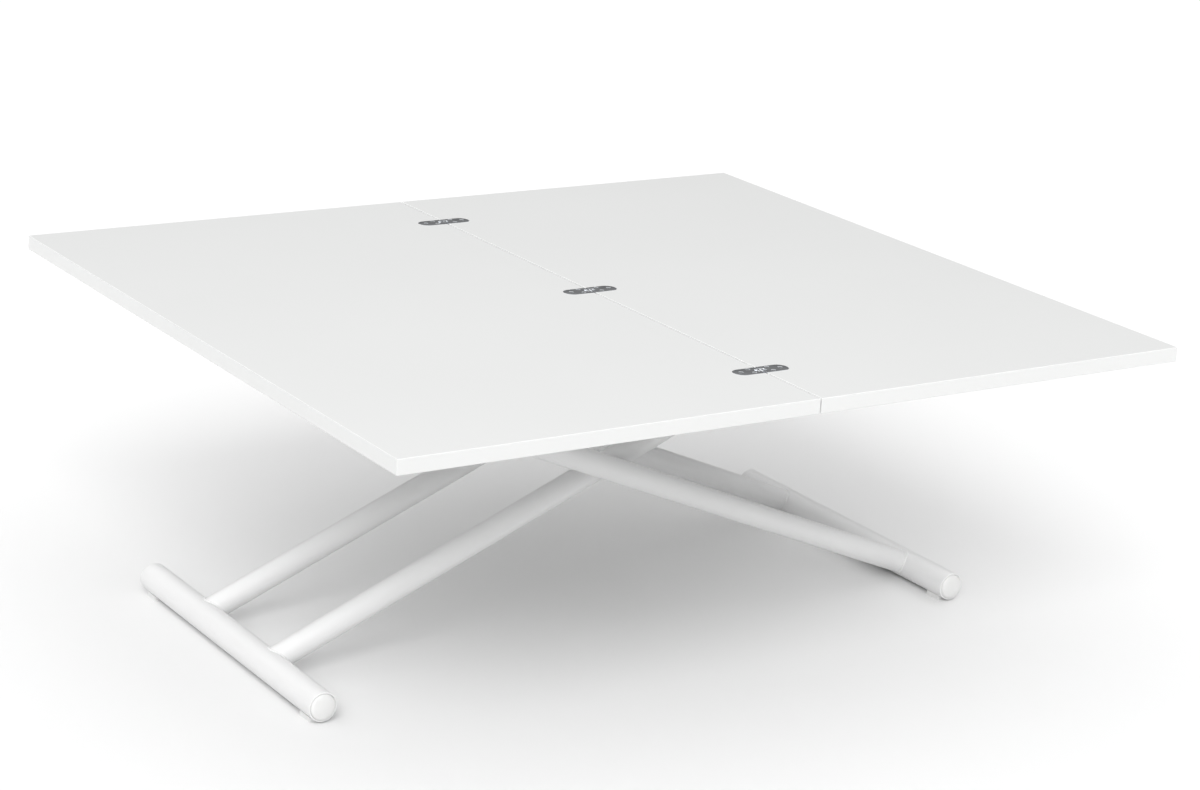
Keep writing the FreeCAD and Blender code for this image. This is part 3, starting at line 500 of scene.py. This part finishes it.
def weld_group():
    """Node group that sweeps a rippled bead along closed loops."""
    group = bpy.data.node_groups.new("Weld Bead", "GeometryNodeTree")
    face = group.interface
    face.new_socket("Geometry", in_out="INPUT", socket_type="NodeSocketGeometry")
    for name, kind in (("Radius", "NodeSocketFloat"), ("Ripple", "NodeSocketFloat"),
                       ("Count", "NodeSocketInt"), ("Material", "NodeSocketMaterial")):
        face.new_socket(name, in_out="INPUT", socket_type=kind)
    face.new_socket("Geometry", in_out="OUTPUT", socket_type="NodeSocketGeometry")
    tree = Tree(group)
    given = tree.add("NodeGroupInput").outputs
    loops = tree.add("GeometryNodeMeshToCurve", {"Mesh": given["Geometry"]}).outputs[0]
    even = tree.add("GeometryNodeResampleCurve", {"Curve": loops, "Count": given["Count"]}).outputs[0]
    index = tree.add("GeometryNodeInputIndex").outputs[0]
    wave = tree.math("SINE", tree.math("MULTIPLY", index, 1.5708))
    scale = tree.math("MULTIPLY_ADD", wave, given["Ripple"], 1.0)
    ring = tree.add(
        "GeometryNodeCurvePrimitiveCircle", {"Resolution": 12, "Radius": given["Radius"]}
    ).outputs[0]
    bead = tree.add(
        "GeometryNodeCurveToMesh", {"Curve": even, "Profile Curve": ring, "Scale": scale}
    ).outputs[0]
    smooth = tree.add("GeometryNodeSetShadeSmooth", {"Geometry": bead}).outputs[0]
    solid = tree.add("GeometryNodeRealizeInstances", {"Geometry": smooth}).outputs[0]
    painted = tree.add("GeometryNodeSetMaterial", {"Geometry": solid, "Material": given["Material"]}).outputs[0]
    tree.add("NodeGroupOutput", {"Geometry": painted})
    return group


def with_group(name, source, group, **inputs):
    """Plain mesh of an object after a node group, whose inputs are given by name."""
    modifier = source.modifiers.new(name, "NODES")
    modifier.node_group = group
    for item in group.interface.items_tree:
        if item.item_type == "SOCKET" and item.in_out == "INPUT" and item.name in inputs:
            modifier[item.identifier] = inputs[item.name]
    return baked(name, source, [modifier])


def weld_loops(name, legs):
    """Edge loops along the joints of some legs with their bars."""
    work = bmesh.new()
    count = 120
    for axes in legs:
        for at_head in (False, True):
            radius = axes["radius"] + 0.0002
            ring = []
            for i in range(count):
                turn = 2 * math.pi * i / count
                place = cope_point(axes, turn, at_head, radius)
                ring.append(work.verts.new(place))
            for i in range(count):
                work.edges.new((ring[i], ring[(i + 1) % count]))
    mesh = bpy.data.meshes.new(name)
    work.to_mesh(mesh)
    work.free()
    return add_object(name, mesh)


# --- flap hinges -------------------------------------------------------------------
HINGE_REACH = 39.5 * MM
HINGE_HALF_WIDTH = 12.5 * MM
SLOT_REACH = 7.3 * MM
SLOT_HALF_WIDTH = 4.0 * MM
LINK_HALF_WIDTH = 3.7 * MM
SCREW_PLACES = ((14.0 * MM, -7.0 * MM), (14.0 * MM, 7.0 * MM), (29.0 * MM, 0.0))
SCREW_RADIUS = 3.4 * MM


def hinge_rows():
    """Y of each hinge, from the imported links."""
    low, high, _ = node_size("hinge_links")
    first = low.y + LINK_HALF_WIDTH
    last = high.y - LINK_HALF_WIDTH
    return (first, (first + last) / 2, last)


def plate_outline(side, seam, y):
    """Outline of a hinge plate: square at the seam, slotted for the link, round at its other end."""
    centre = HINGE_REACH - HINGE_HALF_WIDTH
    points = [(seam, -SLOT_HALF_WIDTH), (seam, -HINGE_HALF_WIDTH)]
    steps = 28
    for i in range(steps + 1):
        turn = -math.pi / 2 + math.pi * i / steps
        points.append((centre + HINGE_HALF_WIDTH * math.cos(turn), HINGE_HALF_WIDTH * math.sin(turn)))
    points += [(seam, HINGE_HALF_WIDTH), (seam, SLOT_HALF_WIDTH)]
    corner = 1.2 * MM
    for sign in (1, -1):
        turns = range(5) if sign == 1 else range(4, -1, -1)
        for i in turns:
            turn = math.pi / 2 * i / 4
            x = SLOT_REACH - corner + corner * math.sin(turn)
            across = SLOT_HALF_WIDTH - corner + corner * math.cos(turn)
            points.append((x, sign * across))
    return [(side * x, y + across) for x, across in points]


def plates_mesh(name, node, side, edge):
    """Three hinge plates with rolled edges and countersunk holes."""
    low, high, _ = node_size(node)
    seam = min(abs(low.x), abs(high.x))
    solid = bmesh.new()
    for y in hinge_rows():
        outline = plate_outline(side, seam, y)
        face = solid.faces.new([solid.verts.new((x, across, high.z)) for x, across in outline])
        face.normal_update()
        if face.normal.z < 0:
            face.normal_flip()
        rim = list(face.edges)
        lower = bmesh.ops.extrude_face_region(solid, geom=[face])["geom"]
        moved = [part for part in lower if isinstance(part, bmesh.types.BMVert)]
        bmesh.ops.translate(solid, verts=moved, vec=(0, 0, low.z - high.z))
        bmesh.ops.bevel(
            solid, geom=rim, offset=edge, segments=4, profile=0.5, affect="EDGES", clamp_overlap=True
        )
    cutter = bmesh.new()
    for y in hinge_rows():
        for x, across in SCREW_PLACES:
            profile = [(0, 0.5 * MM), (4.3 * MM, 0.5 * MM), (3.75 * MM, 0), (3.5 * MM, -0.25 * MM),
                       (2.0 * MM, -1.8 * MM), (2.0 * MM, -8 * MM), (0, -8 * MM)]
            lathe(cutter, profile, Vector((side * x, y + across, high.z)), Vector((0, 0, 1)), 40)
    bmesh.ops.recalc_face_normals(solid, faces=solid.faces)
    return cut_mesh(name, solid, cutter)


def screw_source():
    """One countersunk cross head screw, its head's top at the origin."""
    solid = bmesh.new()
    profile = [(0, 0)]
    profile += [(SCREW_RADIUS * part, -0.12 * MM * part ** 2) for part in (0.2, 0.4, 0.6, 0.78, 0.9)]
    profile += [(SCREW_RADIUS * 0.97, -0.2 * MM), (SCREW_RADIUS, -0.4 * MM), (1.75 * MM, -2.0 * MM),
                (1.75 * MM, -9 * MM), (0, -9 * MM)]
    lathe(solid, profile, Vector((0, 0, 0)), Vector((0, 0, 1)), 48)
    cutter = bmesh.new()
    for turned in (0, 1):
        long, wide = (2.15 * MM, 0.52 * MM)
        half = Vector((wide, long, 0)) if turned else Vector((long, wide, 0))
        low = half * 0.45
        corners = ((-1, -1), (1, -1), (1, 1), (-1, 1))
        top = [cutter.verts.new((sx * half.x, sy * half.y, 0.3 * MM)) for sx, sy in corners]
        foot = [
            cutter.verts.new((sx * max(low.x, wide * 0.6), sy * max(low.y, wide * 0.6), -1.7 * MM))
            for sx, sy in corners
        ]
        cutter.faces.new(top)
        cutter.faces.new(foot)
        bridge(cutter, top, foot)
    return add_object("screw_source", cut_mesh("screw_source", solid, cutter))


def screw_group():
    """Node group that sets a turned screw on every point."""
    group = bpy.data.node_groups.new("Hinge Screws", "GeometryNodeTree")
    face = group.interface
    face.new_socket("Geometry", in_out="INPUT", socket_type="NodeSocketGeometry")
    for name, kind in (("Screw", "NodeSocketObject"), ("Seed", "NodeSocketInt"),
                       ("Material", "NodeSocketMaterial")):
        face.new_socket(name, in_out="INPUT", socket_type=kind)
    face.new_socket("Geometry", in_out="OUTPUT", socket_type="NodeSocketGeometry")
    tree = Tree(group)
    given = tree.add("NodeGroupInput").outputs
    screw = tree.add("GeometryNodeObjectInfo", {"Object": given["Screw"]}).outputs["Geometry"]
    turn = tree.add(
        "FunctionNodeRandomValue",
        {0: (0.0, 0.0, 0.0), 1: (0.0, 0.0, math.pi), "Seed": given["Seed"]}, data_type="FLOAT_VECTOR",
    ).outputs[0]
    rotation = tree.add("FunctionNodeEulerToRotation", {"Euler": turn}).outputs[0]
    placed = tree.add(
        "GeometryNodeInstanceOnPoints",
        {"Points": given["Geometry"], "Instance": screw, "Rotation": rotation},
    ).outputs[0]
    solid = tree.add("GeometryNodeRealizeInstances", {"Geometry": placed}).outputs[0]
    painted = tree.add("GeometryNodeSetMaterial", {"Geometry": solid, "Material": given["Material"]}).outputs[0]
    tree.add("NodeGroupOutput", {"Geometry": painted})
    return group


def point_cloud(name, places):
    """Object whose mesh is loose points."""
    mesh = bpy.data.meshes.new(name)
    mesh.from_pydata(places, [], [])
    return add_object(name, mesh)


# --- stage -------------------------------------------------------------------------
CAMERA_TURN = math.radians(-34.25)
CAMERA_RISE = math.radians(17.31)
CAMERA_ROLL = math.radians(3.70)
CAMERA_AIM = Vector((-0.2385, -0.3891, 0.425))
KEY_DIRECTION = Vector((-1.56, -2.0, 1.9))


def add_camera(looks):
    """Camera in front of the near left corner, looking slightly down."""
    back = Vector((
        math.sin(CAMERA_TURN) * math.cos(CAMERA_RISE),
        -math.cos(CAMERA_TURN) * math.cos(CAMERA_RISE),
        math.sin(CAMERA_RISE),
    ))
    level = back.cross(Vector((0, 0, -1))).normalized()
    upright = back.cross(level)
    across = level * math.cos(CAMERA_ROLL) + upright * math.sin(CAMERA_ROLL)
    upward = -level * math.sin(CAMERA_ROLL) + upright * math.cos(CAMERA_ROLL)
    data = bpy.data.cameras.new("Camera")
    data.sensor_width = 36
    data.lens = looks.lens
    data.clip_start = 0.05
    camera = bpy.data.objects.new("Camera", data)
    bpy.context.scene.collection.objects.link(camera)
    turned = Matrix((across, upward, back)).transposed().to_4x4()
    camera.matrix_world = Matrix.Translation(CAMERA_AIM + back * looks.distance) @ turned
    bpy.context.scene.camera = camera


def add_light(name, direction, energy, spread):
    """Even soft light from a direction; a wider spread, in degrees, gives softer shadows."""
    data = bpy.data.lights.new(name, "SUN")
    data.energy = energy
    data.angle = math.radians(spread)
    light = bpy.data.objects.new(name, data)
    bpy.context.scene.collection.objects.link(light)
    light.matrix_world = direction.to_track_quat("Z", "Y").to_matrix().to_4x4()


def floor_material():
    """Plain pale floor with a barely seen unevenness."""
    material, tree, place = fresh_material("pale_floor")
    cloud = tree.noise(place, 1.2, 3.0)
    colour = tree.mix(cloud, (0.83, 0.83, 0.83), (0.85, 0.85, 0.85))
    close_material(tree, Base_Color=colour, Roughness=0.9, Specular_IOR_Level=0.0)
    return material


def add_floor():
    """Wide pale floor."""
    work = bmesh.new()
    bmesh.ops.create_grid(work, x_segments=8, y_segments=8, size=30)
    add_object("floor", mesh_from(work, "floor"), floor_material())


def add_surroundings(looks):
    """Even room, softly darker at eye level, with a plain pale backdrop."""
    world = bpy.data.worlds.new("Studio")
    bpy.context.scene.world = world
    world.use_nodes = True
    world.node_tree.nodes.clear()
    tree = Tree(world.node_tree)
    direction = tree.add("ShaderNodeTexCoord").outputs["Generated"]
    height = tree.add("ShaderNodeSeparateXYZ", {"Vector": direction}).outputs[2]
    low, high = ((looks.fill * part,) * 3 for part in (0.5, 1.25))
    room = tree.mix(tree.step(height, 0.0, 0.8), low, high)
    seen = tree.add("ShaderNodeLightPath").outputs["Is Camera Ray"]
    colour = tree.mix(seen, room, (0.97, 0.97, 0.97))
    shader = tree.add("ShaderNodeBackground", {"Color": colour, "Strength": 1.0})
    tree.add("ShaderNodeOutputWorld", {"Surface": shader.outputs[0]})


# --- operators ---------------------------------------------------------------------
class BuildPart:
    """Shared undo settings of the operators."""

    bl_options = {"REGISTER", "UNDO"}


class COFFEE_OT_finishes(BuildPart, bpy.types.Operator):
    """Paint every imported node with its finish"""

    bl_idname = "coffee_table.finishes"
    bl_label = "Finishes"

    def execute(self, context):
        scene = context.scene
        lacquer(scene.coffee_top)
        powder_coat(scene.coffee_steel)
        white_plastic()
        chrome(scene.coffee_hinges)
        zinc()
        moulded("black_nylon", (0.022, 0.022, 0.024), (0.034, 0.034, 0.036), 0.42, 0.62, 1200.0, 0.00002)
        moulded("spring_black", (0.016, 0.016, 0.017), (0.024, 0.024, 0.026), 0.18, 0.30, 700.0, 0.000008)
        moulded("grip_plastic", (0.035, 0.035, 0.038), (0.052, 0.052, 0.056), 0.50, 0.72, 900.0, 0.00005)
        return {"FINISHED"}


class COFFEE_OT_base(BuildPart, bpy.types.Operator):
    """Build the legs, the foot bars and their caps"""

    bl_idname = "coffee_table.base"
    bl_label = "Scissor Base"

    def execute(self, context):
        looks = context.scene.coffee_steel
        powder = bpy.data.materials["white_powder"]
        plastic = bpy.data.materials["white_plastic"]
        for node, body, *ends in LEGS:
            mesh = leg_mesh(node, leg_axes(node, *ends), looks.segments)
            finish_piece(node + "_tube", mesh, powder, body, "white_powder", node)
        for side, body in (("left", "inner_frame"), ("right", "outer_frame")):
            bar = side + "_foot_bar"
            cap = side + "_foot_caps"
            finish_piece(bar + "_tube", bar_mesh(bar, looks.segments), powder, body, "white_powder", bar)
            domes = cap_mesh(cap, bar, looks.segments)
            finish_piece(cap + "_domes", domes, plastic, body, "white_plastic", cap)
        return {"FINISHED"}


class COFFEE_OT_welds(BuildPart, bpy.types.Operator):
    """Run weld beads round both ends of every leg"""

    bl_idname = "coffee_table.welds"
    bl_label = "Welds"

    def execute(self, context):
        looks = context.scene.coffee_steel
        powder = bpy.data.materials["white_powder"]
        group = weld_group()
        for body in ("inner_frame", "outer_frame"):
            legs = [leg_axes(node, *ends) for node, owner, *ends in LEGS if owner == body]
            name = body + "_welds"
            loops = weld_loops(name, legs)
            mesh = with_group(
                name, loops, group, Radius=looks.bead, Ripple=looks.ripple, Count=132, Material=powder
            )
            finish_piece(name, mesh, powder, body, "white_powder")
        return {"FINISHED"}


class COFFEE_OT_hinges(BuildPart, bpy.types.Operator):
    """Build the chromed hinge plates and set their screws"""

    bl_idname = "coffee_table.hinges"
    bl_label = "Flap Hinges"

    def execute(self, context):
        looks = context.scene.coffee_hinges
        plate_chrome = bpy.data.materials["bright_chrome"]
        source = screw_source()
        group = screw_group()
        for leaf, side in (("fixed", -1), ("folding", 1)):
            plates = leaf + "_hinge_plates"
            screws = leaf + "_hinge_screws"
            body = leaf + "_leaf"
            mesh = plates_mesh(plates + "_rolled", plates, side, looks.edge)
            finish_piece(plates + "_rolled", mesh, plate_chrome, body, "bright_chrome", plates)
            _, high, _ = node_size(screws)
            places = [(side * x, y + across, high.z) for y in hinge_rows() for x, across in SCREW_PLACES]
            cloud = point_cloud(screws + "_set", places)
            mesh = with_group(
                screws + "_set", cloud, group, Screw=source, Seed=looks.seed + side, Material=plate_chrome
            )
            finish_piece(screws + "_set", mesh, plate_chrome, body, "bright_chrome", screws)
        bpy.data.objects.remove(source)
        return {"FINISHED"}


class COFFEE_OT_stage(BuildPart, bpy.types.Operator):
    """Add the floor, the lights, the surroundings and the camera"""

    bl_idname = "coffee_table.stage"
    bl_label = "Stage"

    def execute(self, context):
        looks = context.scene.coffee_stage
        add_floor()
        add_surroundings(looks)
        add_light("Key Light", KEY_DIRECTION, looks.key, 40)
        add_light("Overhead Light", Vector((0, 0, 1)), looks.overhead, 110)
        add_camera(looks)
        context.scene.view_settings.view_transform = "Standard"
        return {"FINISHED"}


OPERATORS = (
    COFFEE_OT_finishes, COFFEE_OT_base, COFFEE_OT_welds, COFFEE_OT_hinges, COFFEE_OT_stage,
)


class COFFEE_PT_panel(bpy.types.Panel):
    """Settings and build steps of the table"""

    bl_idname = "COFFEE_PT_panel"
    bl_label = "Coffee Table"
    bl_space_type = "VIEW_3D"
    bl_region_type = "UI"
    bl_category = "Coffee Table"

    def draw(self, context):
        for name in SETTINGS:
            box = self.layout.box()
            looks = getattr(context.scene, name)
            for key in looks.__annotations__:
                box.prop(looks, key)
        for operator in OPERATORS:
            self.layout.operator(operator.bl_idname)


SETTINGS = {
    "coffee_top": TopLooks,
    "coffee_steel": SteelLooks,
    "coffee_hinges": HingeLooks,
    "coffee_stage": StageLooks,
}
CLASSES = (*SETTINGS.values(), *OPERATORS, COFFEE_PT_panel)


def register():
    for cls in CLASSES:
        bpy.utils.register_class(cls)
    for name, cls in SETTINGS.items():
        setattr(bpy.types.Scene, name, PointerProperty(type=cls))


def unregister():
    for name in SETTINGS:
        delattr(bpy.types.Scene, name)
    for cls in reversed(CLASSES):
        bpy.utils.unregister_class(cls)


def main():
    """Builds everything in order."""
    register()
    bpy.ops.coffee_table.finishes()
    bpy.ops.coffee_table.base()
    bpy.ops.coffee_table.welds()
    bpy.ops.coffee_table.hinges()
    bpy.ops.coffee_table.stage()


if __name__ == "__main__":
    main()
